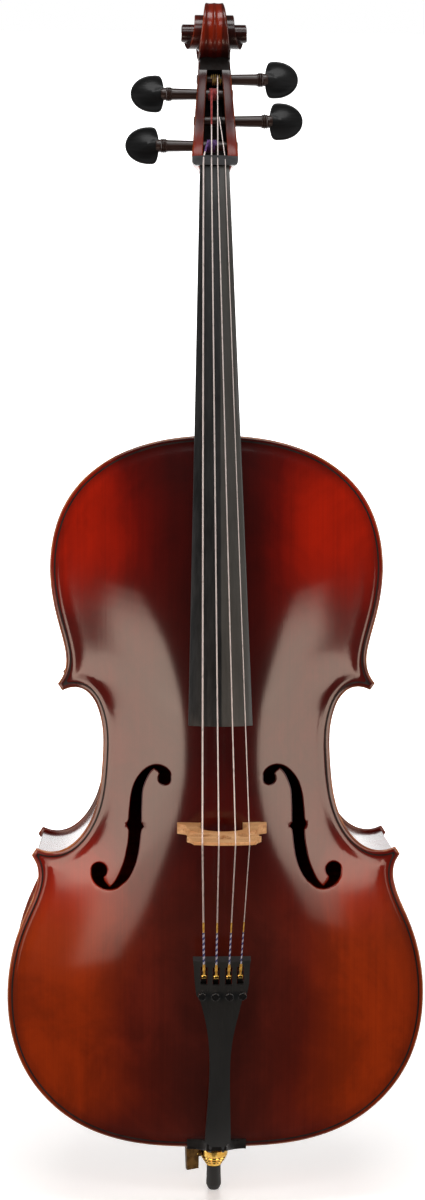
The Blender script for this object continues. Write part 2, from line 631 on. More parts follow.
def varnish(name, kind):
    m = Mat(name)
    x, y, z = m.xyz()
    ax = m.math('ABSOLUTE', m.math('ADD', x, m.rng(z, 0.35, 0.60, -0.007, 0.011)))
    slow = m.noise((5.5, 5.5, 3.2), 2.0)
    slow2 = m.noise((14, 14, 5.0), 3.0, 0.6)
    wob = m.math('MULTIPLY', m.math('SUBTRACT', slow, 0.5), 0.10)
    axw = m.math('ADD', ax, wob)
    if kind in ("top", "back"):
        low = m.rng(axw, 0.020, 0.155)
        upp = m.rng(axw, 0.035, 0.125)
        zf = m.rng(z, 0.44, 0.60)
        side = m.mix(zf, low, upp)
        side = m.math('MULTIPLY', side, 1.0)
        waist = m.math('MULTIPLY', m.rng(z, 0.33, 0.45), m.rng(z, 0.72, 0.60))
        fl = m.math('MULTIPLY', side, m.math('SUBTRACT', 1.0, m.math('MULTIPLY', waist, 0.72)))
        endd = m.math('MAXIMUM', m.rng(z, 0.13, 0.075), m.rng(z, 0.77, 0.825))
        fl = m.math('MULTIPLY', fl, m.math('SUBTRACT', 1.0, m.math('MULTIPLY', endd, 0.45)))
    else:
        fl = m.math('ADD', 0.06 if kind == "scroll" else 0.30, m.math('MULTIPLY', m.math('SUBTRACT', slow2, 0.5), 0.9), clamp=True)
    fl = m.math('ADD', fl, m.math('MULTIPLY', m.math('SUBTRACT', slow2, 0.5), 0.22), clamp=True)
    # figure of the wood
    if kind == "top":
        grain = m.noise((760, 30, 5.0), 3.0, 0.6)
        grain2 = m.noise((190, 20, 2.2), 2.0, 0.5)
        fig = m.math('ADD', m.math('MULTIPLY', grain, 0.6), m.math('MULTIPLY', grain2, 0.4))
        silk = m.noise((120, 60, 160), 2.0, 0.5)
        fig = m.math('ADD', fig, m.math('MULTIPLY', m.math('SUBTRACT', silk, 0.5), 0.18))
        lo, hi = 0.88, 1.12
    else:
        warp = m.noise((16, 16, 9), 2.0)
        if kind == "neck":
            sz = (26, 26, 120)
        else:
            sz = (7, 22, 95)
        flame = m.noise(sz, 2.0, 0.45, 1.2)
        fine = m.noise((380, 380, 14), 2.0, 0.5)
        fig = m.math('ADD', m.math('MULTIPLY', flame, 0.75), m.math('MULTIPLY', fine, 0.25))
        lo, hi = 0.55, 1.42
    gain = m.rng(fig, 0.30, 0.70, lo, hi, smooth=False)
    lowz = m.rng(m.math('ADD', z, m.math('MULTIPLY', m.math('SUBTRACT', slow, 0.5), 0.08)), 0.40, 0.29)
    deep, mid = m.mix(lowz, DEEP_UP, DEEP_LOW), m.mix(lowz, MID_UP, MID_LOW)
    col = m.mix(m.rng(fl, 0.0, 0.5, smooth=False), deep, mid)
    flank = m.mix(lowz, FLANK_UP, FLANK_LOW)
    col = m.mix(m.rng(fl, 0.45, 1.0, smooth=False), col, flank)
    gc = m.n("ShaderNodeCombineXYZ")
    for i in range(3):
        m.put(gc.inputs[i], gain)
    col = m.mix(1.0, col, gc.outputs[0], 'MULTIPLY')
    if kind in ("top", "back"):
        blot = m.noise((11, 11, 8.0), 5.0, 0.62, 0.6)
        bc = m.n("ShaderNodeCombineXYZ")
        bl = m.rng(blot, 0.36, 0.66, 0.74, 1.16)
        for i in range(3):
            m.put(bc.inputs[i], bl)
        col = m.mix(1.0, col, bc.outputs[0], 'MULTIPLY')
        d = m.attr("d_edge")
        dn = m.math('ADD', d, m.math('MULTIPLY', m.math('SUBTRACT', slow2, 0.5), 5.0))
        band = m.math('MULTIPLY', m.rng(dn, 17.0, 5.0), 0.34)
        col = m.mix(band, col, lin(44, 8, 4))
        wear_n = m.noise((55, 55, 30), 4.0, 0.65)
        wear = m.math("MULTIPLY", m.rng(d, 2.5, 0.4), m.rng(wear_n, 0.36, 0.62, 0.26 if kind == "top" else 0.05, 0.82 if kind == "top" else 0.22))
        col = m.mix(wear, col, GOLD_EDGE)
    if kind == "scroll":
        bright = m.math('MAXIMUM', m.rng(z, 1.150, 1.108), m.rng(z, 1.222, 1.238))
        bright = m.math('MULTIPLY', bright, m.rng(slow2, 0.32, 0.62, 0.35, 0.85))
        col = m.mix(bright, m.mix(0.5, col, lin(58, 12, 9)), lin(158, 40, 6))
        cv = m.attr("ridge")
        wear_n = m.noise((90, 90, 70), 4.0, 0.65)
        col = m.mix(m.math('MULTIPLY', cv, m.rng(wear_n, 0.3, 0.6, 0.15, 0.6)), col, lin(170, 84, 34))
        ear = m.math('MULTIPLY', m.rng(ax, 0.0148, 0.0172), m.rng(z, 1.198, 1.206))
        col = m.mix(m.math('MULTIPLY', ear, m.rng(wear_n, 0.35, 0.7, 0.9, 0.6)), col, lin(36, 14, 9))
        spine = m.math('MULTIPLY', m.rng(ax, 0.0034, 0.0012), m.rng(z, 1.20, 1.215))
        col = m.mix(m.math('MULTIPLY', spine, 0.55), col, lin(52, 14, 6))
        col = m.mix(m.attr("hollow"), col, lin(26, 6, 4))
    orange = m.noise((2600, 2600, 2600), 2.0, 0.5)
    swell = m.noise((9, 9, 7), 1.0)
    if kind == "top":
        hh = m.math('ADD', m.math('MULTIPLY', grain, 0.9), m.math('MULTIPLY', orange, 0.1))
        nrm = m.bump(hh, 0.00006, 0.6)
    else:
        nrm = m.bump(orange, 0.00003, 0.5)
    rough = m.rng(orange, 0.3, 0.7, 0.30, 0.42)
    satin = kind == "neck"
    return m.done(col, rough, spec=0.05, coat=0.55 if satin else (0.85 if kind in ("rib", "scroll") else 1.0), coat_r=0.26 if satin else (0.2 if kind == "scroll" else 0.10), normal=nrm,
                  coat_n=m.bump(m.math('ADD', m.math('MULTIPLY', grain, 0.30) if kind == "top" else m.math('MULTIPLY', orange, 0.2), m.math('MULTIPLY', swell, 2.2)), 0.00008, 0.5))


def black_wood(name, base, rough, coat, coat_r=0.2, worn=None, axis='z', spec=0.4):
    m = Mat(name)
    s = {'z': (420, 420, 9), 'x': (9, 420, 420)}[axis]
    g = m.noise(s, 4.0, 0.6)
    g2 = m.noise(tuple(q * 0.22 for q in s), 3.0, 0.6)
    k = m.math('ADD', m.math('MULTIPLY', g, 0.6), m.math('MULTIPLY', g2, 0.4))
    c0 = lin(*[max(q - 12, 3) for q in base])
    c1 = lin(*[q + 10 for q in base])
    col = m.mix(m.rng(k, 0.35, 0.68), c0, c1)
    if worn:
        rub = m.math('ADD', m.xyz()[0], m.math('MULTIPLY', m.math('SUBTRACT', g2, 0.5), 0.0012))
        col = m.mix(m.math('MULTIPLY', m.rng(rub, 0.0012, 0.0030), 0.75), col, m.mix(k, lin(*[q - 10 for q in worn]), lin(*[q + 10 for q in worn])))
    pores = m.noise(tuple(q * 1.6 for q in s), 2.0, 0.5)
    nrm = m.bump(m.rng(pores, 0.36, 0.44), 0.00005, 0.5)
    return m.done(col, m.rng(g2, 0.3, 0.7, rough - 0.06, rough + 0.08), spec=spec, coat=coat, coat_r=coat_r, normal=nrm)


def wood(name, c0, c1, s, rough=0.55, speck=0.0, coat=0.0):
    m = Mat(name)
    g = m.noise(s, 4.0, 0.6)
    g2 = m.noise(tuple(q * 0.15 for q in s), 2.0, 0.5)
    k = m.math('ADD', m.math('MULTIPLY', g, 0.65), m.math('MULTIPLY', g2, 0.35))
    col = m.mix(m.rng(k, 0.34, 0.66), lin(*c0), lin(*c1))
    if speck:
        fl = m.noise((1500, 340, 340), 2.0, 0.5)
        col = m.mix(m.math('MULTIPLY', m.rng(fl, 0.58, 0.66), speck), col, lin(150, 92, 48))
    nrm = m.bump(g, 0.00008, 0.5)
    return m.done(col, m.rng(g, 0.3, 0.7, rough - 0.05, rough + 0.08), spec=0.3, coat=coat, coat_r=0.3, normal=nrm)


def metal(name, c0, c1, rough, s=(300, 300, 300), brushed=None):
    m = Mat(name)
    g = m.noise(s, 3.0, 0.6)
    col = m.mix(m.rng(g, 0.3, 0.7), lin(*c0), lin(*c1))
    if brushed:
        b = m.noise(brushed, 2.0, 0.5)
        nrm = m.bump(b, 0.00002, 0.4)
    else:
        nrm = m.bump(m.noise((60, 60, 60), 2.0), 0.00005, 0.3)
    return m.done(col, m.rng(g, 0.3, 0.7, rough * 0.8, rough * 1.3), metal=1.0, normal=nrm)


M_TOP = varnish("spruce_varnished", "top")
M_BACK = varnish("maple_varnished", "back")
M_RIB = varnish("maple_rib", "rib")
M_NECK = varnish("neck_satin", "neck")
M_SCROLL = varnish("scroll_varnished", "scroll")
M_EBONY = black_wood("ebony", (22, 22, 22), 0.40, 0.15, 0.30, worn=(74, 72, 68), axis='z', spec=0.3)
M_EBONYX = black_wood("ebony_cross", (30, 27, 25), 0.30, 0.5, 0.2, axis='x')
M_PEG = black_wood("ebony_gloss", (14, 14, 15), 0.45, 0.35, 0.18, axis='x', spec=0.2)
M_NUT = black_wood("nut_satin", (74, 74, 76), 0.38, 0.35, 0.25, axis='x')
m = Mat("pegbox_cavity")
g = m.noise((240, 240, 40), 3.0)
M_CAVE = m.done(m.mix(g, lin(9, 6, 5), lin(26, 16, 12)), m.rng(g, 0.3, 0.7, 0.6, 0.8), spec=0.15, normal=m.bump(g, 0.0001, 0.4))
M_SHAFT = black_wood("peg_shaft_wood", (46, 26, 18), 0.34, 0.3, 0.2, axis='x')
M_PURF = black_wood("purfling_wood", (24, 12, 8), 0.4, 1.0, 0.08)
M_INNER = wood("inner_wood", (150, 108, 66), (196, 154, 104), (260, 60, 8), 0.7)
M_BRIDGE = wood("bridge_maple", (200, 140, 88), (232, 182, 130), (14, 200, 420), 0.5, 0.55)
M_STEEL = metal("steel", (150, 148, 146), (196, 194, 192), 0.22, brushed=(40, 40, 900))
M_GOLD = metal("gold", (198, 150, 62), (240, 200, 110), 0.13, s=(180, 180, 180))
M_BRASSD = metal("dark_gold", (62, 44, 24), (104, 76, 42), 0.3, s=(120, 120, 120))
M_TIP = None
for nm, base in (("tip_rubber", (22, 22, 22)),):
    m = Mat(nm)
    g = m.noise((900, 900, 900), 3.0)
    g2 = m.noise((80, 80, 40), 3.0)
    M_TIP = m.done(m.mix(g2, lin(14, 14, 14), lin(34, 34, 34)), m.rng(g, 0.3, 0.7, 0.34, 0.55), spec=0.4, normal=m.bump(g, 0.00006, 0.5))
for nm in ("tail_black",):
    m = Mat(nm)
    g = m.noise((1800, 1800, 1800), 2.0)
    g2 = m.noise((30, 30, 12), 3.0)
    M_TAIL = m.done(m.mix(g2, lin(34, 35, 35), lin(46, 47, 47)), m.rng(g2, 0.3, 0.7, 0.34, 0.46), spec=0.45, normal=m.bump(g, 0.00004, 0.5))
m = Mat("tuner_black")
g = m.noise((500, 500, 500), 2.0)
M_TUNER = m.done(m.mix(g, lin(16, 16, 16), lin(34, 34, 35)), m.rng(g, 0.3, 0.7, 0.16, 0.30), metal=0.3, spec=0.5, coat=0.6, coat_r=0.12)
m = Mat("string_steel")
g = m.noise((700, 700, 24), 2.0)
M_STRING = m.done(m.mix(g, lin(206, 190, 184), lin(240, 226, 220)), m.rng(g, 0.3, 0.7, 0.26, 0.38), metal=0.45, spec=0.6)
m = Mat("cord_black")
g = m.noise((1400, 1400, 1400), 2.0)
M_CORD = m.done(m.mix(g, lin(16, 16, 17), lin(44, 44, 46)), m.rng(g, 0.3, 0.7, 0.5, 0.7), spec=0.3, normal=m.bump(g, 0.0001, 0.6))


def silk(name, a, b, c=None, turns=900.0):
    m = Mat(name)
    g = m.noise((2200, 2200, 2200), 2.0)
    h = m.attr("twist")
    s = m.math('SINE', m.math('MULTIPLY', h, 2 * math.pi), 0.0)
    k = m.rng(s, -0.25, 0.25)
    col = m.mix(k, lin(*a), lin(*b))
    col = m.mix(m.math('MULTIPLY', g, 0.35), col, lin(20, 18, 24))
    return m.done(col, m.rng(g, 0.3, 0.7, 0.55, 0.75), spec=0.25, sheen=0.3, normal=m.bump(m.math('ADD', m.math('MULTIPLY', k, 0.5), g), 0.00008, 0.6))


SILK = {"c": silk("silk_purple", (86, 44, 120), (120, 74, 150)), "g": silk("silk_red", (150, 26, 30), (176, 54, 50)),
        "d": silk("silk_gold", (196, 150, 50), (226, 186, 90)), "a": silk("silk_gold2", (190, 140, 50), (230, 190, 100))}
M_TWIST = silk("silk_twist", (44, 56, 120), (206, 204, 222))
M_BAND = silk("silk_band", (206, 150, 40), (232, 184, 76))

NODE_MATS = {
    "top_plate": M_TOP, "back_plate": M_BACK, "linings_top": M_INNER, "linings_back": M_INNER, "block_upper": M_INNER, "block_lower": M_INNER,
    "corner_blocks": M_INNER, "bass_bar": M_INNER, "sound_post": M_INNER, "purfling_top": M_PURF, "purfling_back": M_PURF, "neck": M_SCROLL,
    "fingerboard": M_EBONY, "nut": M_NUT, "saddle": M_EBONYX, "bridge": M_BRIDGE, "tailpiece": M_TAIL, "tail_cord": M_CORD, "tuner_pin": M_STEEL,
    "endpin_plug": M_EBONYX, "endpin_collar": M_GOLD, "endpin_rod": M_STEEL, "endpin_tip": M_TIP, "clamp_screw": M_GOLD, "clamp_wing": M_BRASSD}
for b_ in ("lower", "c", "upper"):
    for s_ in ("bass", "treble"):
        NODE_MATS["rib_%s_%s" % (b_, s_)] = M_RIB
for n_ in "cgda":
    NODE_MATS["string_" + n_] = M_STRING
    NODE_MATS["peg_" + n_] = M_PEG
    NODE_MATS["peg_winding_" + n_] = SILK[n_]
    NODE_MATS["tuner_lever_" + n_] = M_TUNER
    NODE_MATS["tuner_screw_" + n_] = M_STEEL
    NODE_MATS["tuner_knob_" + n_] = M_TUNER
    NODE_MATS["string_ball_" + n_] = M_GOLD
for k_, ob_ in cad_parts.items():
    if not ob_.material_slots:
        ob_.data.materials.append(NODE_MATS[k_])
    for sl_ in ob_.material_slots:
        sl_.material = NODE_MATS[k_]

# ------------------------------------------------------------------ plates and purfling
top_ob = put(mesh_obj("top_plate_carved", topV, topF, M_TOP, 42, topA), "instrument", "spruce_varnished", "top_plate")
bak_ob = put(mesh_obj("back_plate_carved", bakV, bakF, M_BACK, 42, bakA), "instrument", "maple_varnished", "back_plate")


def purfling(name, V, F, sign, node):
    V = V.copy()
    V[:, 1] += sign * 0.02
    ob = mesh_obj(name, V, F, M_PURF, 42)
    put(ob, "instrument", "purfling_wood", node)
    return ob


purfling("purfling_top_line", ptV, ptF, -1, "purfling_top")
purfling("purfling_back_line", pbV, pbF, 1, "purfling_back")

# ------------------------------------------------------------------ grid helpers
def grid_faces(nr, nc, close_c=False, close_r=False, flip=False, base=0):
    f = []
    for i in range(nr if close_r else nr - 1):
        for j in range(nc if close_c else nc - 1):
            a = base + i * nc + j
            b = base + i * nc + (j + 1) % nc
            c = base + ((i + 1) % nr) * nc + (j + 1) % nc
            d = base + ((i + 1) % nr) * nc + j
            f.append((a, d, c, b) if flip else (a, b, c, d))
    return f


def loft(name, rows, mat, sharp=40, caps=True, attrs=None, close_c=True):
    """Closed rings of equal length joined into a skin with flat end caps."""
    rows = [np.asarray(r, float) for r in rows]
    nr, nc = len(rows), len(rows[0])
    V_ = np.vstack(rows)
    F = grid_faces(nr, nc, close_c)
    if caps:
        F.append(tuple(range(nc))[::-1])
        F.append(tuple(range((nr - 1) * nc, nr * nc)))
    ob = mesh_obj(name, V_, F, mat, None, attrs)
    recalc(ob)
    if sharp:
        ob.data.set_sharp_from_angle(angle=math.radians(sharp))
    return ob


def join(name, obs):
    """One object from several meshes."""
    V_, F, base = [], [], 0
    mats, at = [], {}
    names = set()
    for o in obs:
        names |= {a.name for a in o.data.attributes if a.domain == 'POINT' and a.data_type == 'FLOAT' and not a.name.startswith('.')}
    me = bpy.data.meshes.new(name)
    mi, sm, shp = [], [], []
    for n_ in names:
        at[n_] = []
    for o in obs:
        d = o.data
        v = np.empty(len(d.vertices) * 3, np.float32)
        d.vertices.foreach_get("co", v)
        V_.append(v.reshape(-1, 3))
        for p in d.polygons:
            F.append(tuple(base + i for i in p.vertices))
            mt = d.materials[p.material_index]
            if mt not in mats:
                mats.append(mt)
            mi.append(mats.index(mt))
        for n_ in names:
            if n_ in d.attributes:
                a = np.empty(len(d.vertices), np.float32)
                d.attributes[n_].data.foreach_get("value", a)
            else:
                a = np.zeros(len(d.vertices), np.float32)
            at[n_].append(a)
        base += len(d.vertices)
    me.from_pydata(np.vstack(V_).tolist(), [], F)
    for m_ in mats:
        me.materials.append(m_)
    me.polygons.foreach_set("material_index", mi)
    me.polygons.foreach_set("use_smooth", np.ones(len(F), dtype=bool))
    for n_ in names:
        a = me.attributes.new(n_, 'FLOAT', 'POINT')
        a.data.foreach_set("value", np.concatenate(at[n_]))
    me.update()
    me.set_sharp_from_angle(angle=math.radians(38))
    ob = bpy.data.objects.new(name, me)
    bpy.context.scene.collection.objects.link(ob)
    for o in obs:
        bpy.data.objects.remove(o)
    return ob


# ------------------------------------------------------------------ ribs
def rib(name, outer, inner, s, node):
    ring = np.vstack([outer, inner[::-1]])
    ring = ring * np.array([s, 1]) + np.array([0, Z_BODY])
    rows = []
    for y_ in (-59.0, -58.6, -40, -20, 0, 20, 40, 58.6, 59.0):
        rows.append(np.stack([ring[:, 0], np.full(len(ring), y_), ring[:, 1]], 1))
    ob = loft(name, rows, M_RIB, 35)
    return put(ob, "instrument", "maple_varnished", node)


RO, RI = half_outline(OVERHANG), half_outline(OVERHANG + RIB_T)
for s_, nm_ in ((1, "treble"), (-1, "bass")):
    for k_, b_ in enumerate(("lower", "c", "upper")):
        o_, i_ = RO[k_], RI[k_]
        if b_ == "lower":
            o_ = np.vstack([o_, o_[-1] * 0.35 + RO[1][0] * 0.65])
        if b_ == "upper":
            o_ = np.vstack([o_[0] * 0.35 + RO[1][-1] * 0.65, o_])
        rib("rib_skin_%s_%s" % (b_, nm_), o_, i_, s_, "rib_%s_%s" % (b_, nm_))

# ------------------------------------------------------------------ neck
NUT_Z, NUT_LEN, FB_END_Z = 1102.5, 9.5, 530.0
FB_W_NUT, FB_W_END, FB_R, FB_EDGE = 30.6, 65.0, 62.0, 6.0
FB_TOP_NUT, FB_TOP_END, FB_X_NUT, FB_X_END = -55.5, -147.5, -3.0, 1.3
HEAD_X, EYE_Y, EYE_Z = -2.4, -2.0, 1247.0


def fb_frac(z):
    return (NUT_Z - z) / (NUT_Z - FB_END_Z)


def fb_w(z):
    return FB_W_NUT + (FB_W_END - FB_W_NUT) * fb_frac(z)


def fb_x(z):
    return FB_X_NUT + (FB_X_END - FB_X_NUT) * fb_frac(z)


def sag(w_):
    return FB_R - math.sqrt(FB_R ** 2 - (w_ / 2) ** 2)


FB_BOT_NUT = FB_TOP_NUT + sag(FB_W_NUT) + FB_EDGE
FB_BOT_END = FB_TOP_END + sag(FB_W_END) + FB_EDGE


def fb_under(z):
    return FB_BOT_NUT + (FB_BOT_END - FB_BOT_NUT) * fb_frac(z)


def d_ring(A, B, hw, x0, st, n=26):
    """U-shaped ring from the front line A to the back point B; st = 0 round, 1 stadium."""
    A, B = np.array(A), np.array(B)
    L = np.linalg.norm(B - A)
    d = (B - A) / L
    out = []
    for k in range(n + 1):
        a = math.pi * k / n
        c, s = math.cos(a), math.sin(a)
        xr = hw * math.copysign(abs(c) ** 0.92, c)
        ur = 3.0 + (L - 3.0) * abs(s) ** 0.85
        r = min(hw, L)
        xs = hw * c
        us = (L - r) + r * s
        if abs(c) > 0.999:
            ur, us = 3.0, L - r
        x_, u_ = xr * (1 - st) + xs * st, ur * (1 - st) + us * st
        p = A + d * u_
        out.append((x0 + x_, p[0], p[1]))
    out += [(x0 - hw * q, A[0], A[1]) for q in (1.0, 0.5, 0.0, -0.5, -1.0)]
    return out


rows = []
for z_ in np.linspace(1104, 905, 34):
    dep = np.interp(z_, [860, 960, 1040, 1104], [24.0, 22.3, 21.3, 21.0])
    rows.append(d_ring((fb_under(z_), z_), (fb_under(z_) + dep, z_), fb_w(z_) / 2 - 0.25, fb_x(z_), 0.0))
heel_B = cspline([(fb_under(905) + 23.2, 905.0), (-56.5, 894.0), (-50.0, 878.0), (-40, 864.5), (-25, 854.8), (-5, 848.4), (18, 845.3), (40, 844.6), (58.9, 845.8)], n=40)
heel_A = cspline([(fb_under(905), 905.0), (fb_under(890), 890.0), (fb_under(868), 868.0), (fb_under(848), 848.0), (fb_under(832) + 4, 832.0), (-62.0, 820.0), (-30, 813.0), (10, 812.6), (40, 812.5), (58.9, 812.5)], n=40)
for k in range(1, 40):
    t = k / 39.0
    st = float(smooth(t, 0.35, 1.0))
    hw = np.interp(t, [0, 0.25, 0.5, 0.75, 1.0], [fb_w(905) / 2 - 0.25, fb_w(850) / 2 - 1.0, 21.0, 18.2, 16.9])
    x0 = fb_x(850) * (1 - smooth(t, 0.3, 1.0))
    rows.append(d_ring(heel_A[k], heel_B[k], hw, x0, st))
neck_shaft = loft("neck_a", rows, M_NECK, 50)

# pegbox
PB_F = [(1086, -49.9), (1100.0, -50.4), (1112.0, -50.3), (1150.0, -38.5), (1184.0, -29.5), (1200.0, -25.6), (1207.0, -22.6), (1214.0, -17.0), (1222, -13.0)]
PB_B = [(1062, -28.2), (1070.0, -29.0), (1078, -28.0), (1086.0, -25.8), (1092.0, -22.0), (1098.0, -17.5), (1106, -13.4), (1115.0, -10.6), (1145.0, -4.0), (1175.0, 3.0), (1205.0, 11.0), (1222.0, 17.0)]
PB_W = [(1062, 14.2), (1076, 14.6), (1086, 14.9), (1096, 15.3), (1101, 16.2), (1104, 18.9), (1107, 21.8), (1110.5, 23.6), (1118, 23.75), (1150, 21.2), (1182, 18.75), (1216, 16.6), (1222, 16.4)]
CAV_W = [(1105, 12.9), (1128, 12.0), (1177, 9.3), (1196, 8.0), (1210, 7.2)]
CAV_B = [(1112.6, -22.5), (1118, -19.0), (1145, -11.0), (1176, -2.5), (1206, 2.0)]


def cv(tab, z):
    return float(np.interp(z, [a for a, b in tab], [b for a, b in tab]))


def smooth_tab(tab):
    p = cspline(tab, n=60)
    return [tuple(q) for q in p]


PB_F2, PB_B2, PB_W2 = smooth_tab(PB_F), smooth_tab(PB_B), smooth_tab(PB_W)


def pb_ring(z, deep, zc=None):
    zc = zc or z
    hw, yf, yb = cv(PB_W2, z), cv(PB_F2, z), cv(PB_B2, z)
    if z < 1104:
        yf = fb_under(z) + 0.3
    cw = cv(CAV_W, z)
    yc = cv(CAV_B, z) if deep else yf
    b = 1.1
    fl = float(smooth(z, 1094, 1112)) * 1.9
    right = [(0.0, yc), (cw * 0.55, yc), (cw - 1.2, yc - (0.4 if deep else 0)), (cw - 0.3, yc - (2.0 if deep else 0)), (cw, yc - (4.5 if deep else 0)), (cw, yf + (1.4 if deep else 0)),
             (cw + 0.5, yf + 0.25), (cw + 1.2, yf), (hw - 1.6, yf), (hw - 0.5, yf + 0.5), (hw, yf + 1.6), (hw, yf + 6.0), (hw, 0.5 * (yf + yb)), (hw, yb - 5.0), (hw, yb - 2.4),
             (hw - 0.35, yb - 1.5), (hw - 1.2, yb - 0.5), (hw - 2.3, yb - 0.15)]
    u = [0.86, 0.72, 0.58, 0.44, 0.30, 0.18, 0.09, 0.0]
    for q in u:
        x_ = (hw - 2.3) * q
        dip = fl * math.sin(math.pi * min(q / 0.93, 1.0)) ** 1.2 if q > 0.04 else 0.0
        right.append((x_, yb - 0.15 - dip))
    if z < 1096:
        # neck root: round section
        k = 1 - float(smooth(z, 1078, 1100))
        n_ = len(right)
        rr = []
        for i, (x_, y_) in enumerate(right):
            if i < 9:
                rr.append((x_ if i < 8 else hw - 0.3, yf))
            else:
                a = math.pi / 2 * (i - 9) / (n_ - 10)
                xr, yr = hw * math.cos(a) ** 0.92, yf + 2.5 + (yb - yf - 2.5) * math.sin(a) ** 0.85
                rr.append((x_ * (1 - k) + xr * k, y_ * (1 - k) + yr * k))
        right = rr
    left = [(-x_, y_) for x_, y_ in right[-2:0:-1]]
    return [(HEAD_X + x_ if z > 1086 else (fb_x(z) * (1 - smooth(z, 1062, 1090)) + HEAD_X * smooth(z, 1062, 1090)) + x_, y_, zc) for x_, y_ in right + left]


rows, ridge, hollow = [], [], []
zs = [(z, False) for z in (1062, 1068, 1074, 1080, 1085, 1089, 1093, 1096, 1099, 1102, 1105, 1108, 1112.0)]
zs += [(1112.4, False), (1112.6, True), (1114, True)] + [(z, True) for z in np.arange(1118, 1204, 4.0)] + [(1205.8, True), (1206.0, False)] + [(z, False) for z in (1209, 1213, 1218, 1222)]
for z_, dp in zs:
    r = pb_ring(z_, dp)
    rows.append(r)
    n_half = (len(r) + 2) // 2
    for i in range(len(r)):
        j = i if i < n_half else len(r) - i
        ridge.append(1.0 if j in (9, 10, 15, 16) and z_ > 1100 else (0.5 if j in (6, 5) and dp else 0.0))
        throat = float(smooth(z_, 1190, 1206)) * (1.0 if j <= 9 else 0.0)
        hollow.append(1.0 if dp and j <= 5 else 0.8 * throat)
pegbox = loft("neck_b", rows, M_SCROLL, 38, attrs={"ridge": ridge, "hollow": hollow})

pegbox.data.materials.append(M_CAVE)
hv = np.array(hollow)
for p_ in pegbox.data.polygons:
    if len(p_.vertices) == 4 and (all(hv[i] > 0.99 for i in p_.vertices) or (p_.center[2] > 1.2055 and p_.center[1] < -0.0095 and abs(p_.center[0] - HEAD_X * MM) < 0.0155)):
        p_.material_index = 1
# volute
SC_R = [(-75, 37.0), (-48, 35.2), (0, 33.4), (45, 32.4), (90, 32.0), (135, 31.6), (180, 31.0), (225, 30.0), (262, 28.4), (300, 25.2), (330, 22.9), (360, 21.6), (405, 20.5), (450, 19.8), (495, 19.0), (540, 18.0), (585, 16.9), (630, 15.6), (675, 14.0), (720, 12.4), (765, 11.0), (810, 10.1), (855, 9.6), (900, 9.2), (945, 8.9), (990, 8.6)]
SC_W = [(-75, 15.9), (-48, 15.6), (0, 13.6), (45, 10.9), (90, 9.4), (135, 11.0), (180, 13.5), (225, 16.2), (248, 17.1), (268, 17.2), (300, 17.8), (330, 18.6), (360, 19.4), (405, 20.0), (450, 20.5), (495, 20.8), (540, 21.8), (585, 24.4), (630, 28.2), (675, 30.8), (720, 32.3), (765, 33.1), (810, 33.7), (855, 34.0), (900, 34.15), (945, 34.25), (990, 34.3)]
SR2, SW2 = cspline(SC_R, n=500), cspline(SC_W, n=500)


def sr(a):
    return float(np.interp(a, SR2[:, 0], SR2[:, 1]))


def sw_(a):
    return float(np.interp(a, SW2[:, 0], SW2[:, 1]))


A0, A1, AE = -70.0, 268.0, 985.0
obs = []


def yz(a, r):
    t = math.radians(a)
    return EYE_Y + r * math.cos(t), EYE_Z + r * math.sin(t)


# fluted rim
av = np.arange(A0, A1 + 0.1, 4.0)
xs = [-1, -0.965, -0.90, -0.84, -0.72, -0.58, -0.44, -0.30, -0.19, -0.10, -0.045, 0, 0.045, 0.10, 0.19, 0.30, 0.44, 0.58, 0.72, 0.84, 0.90, 0.965, 1]
V_, rg, hl = [], [], []
for a in av:
    r, hw = sr(a), sw_(a)
    dep = 1.7 * min(1.0, hw / 11.0)
    dep *= float(smooth(a, A0 - 30, A0 + 10)) * (1 - 0.55 * float(smooth(a, 225, 268))) * (1 - 0.72 * math.exp(-((a - 92.0) / 38.0) ** 2))
    for q in xs:
        x_ = hw * q
        aq = abs(q)
        dd = 0.0
        if 0.045 < aq < 0.84:
            dd = dep * math.sin(math.pi * (aq - 0.045) / 0.795) ** 0.8
        if aq >= 0.965:
            dd = 0.45 if aq < 0.99 else 1.35
        y_, z_ = yz(a, r - dd)
        V_.append((HEAD_X + x_, y_, z_))
        rg.append(0.8 if aq >= 0.95 else 0.0)
        hl.append(0.35 * float(smooth(a, 205, 255)) + (0.35 if aq < 0.11 else 0.0))
F = grid_faces(len(av), len(xs))
obs.append(mesh_obj("v1", V_, F, M_SCROLL, None, {"ridge": rg, "hollow": hl}))
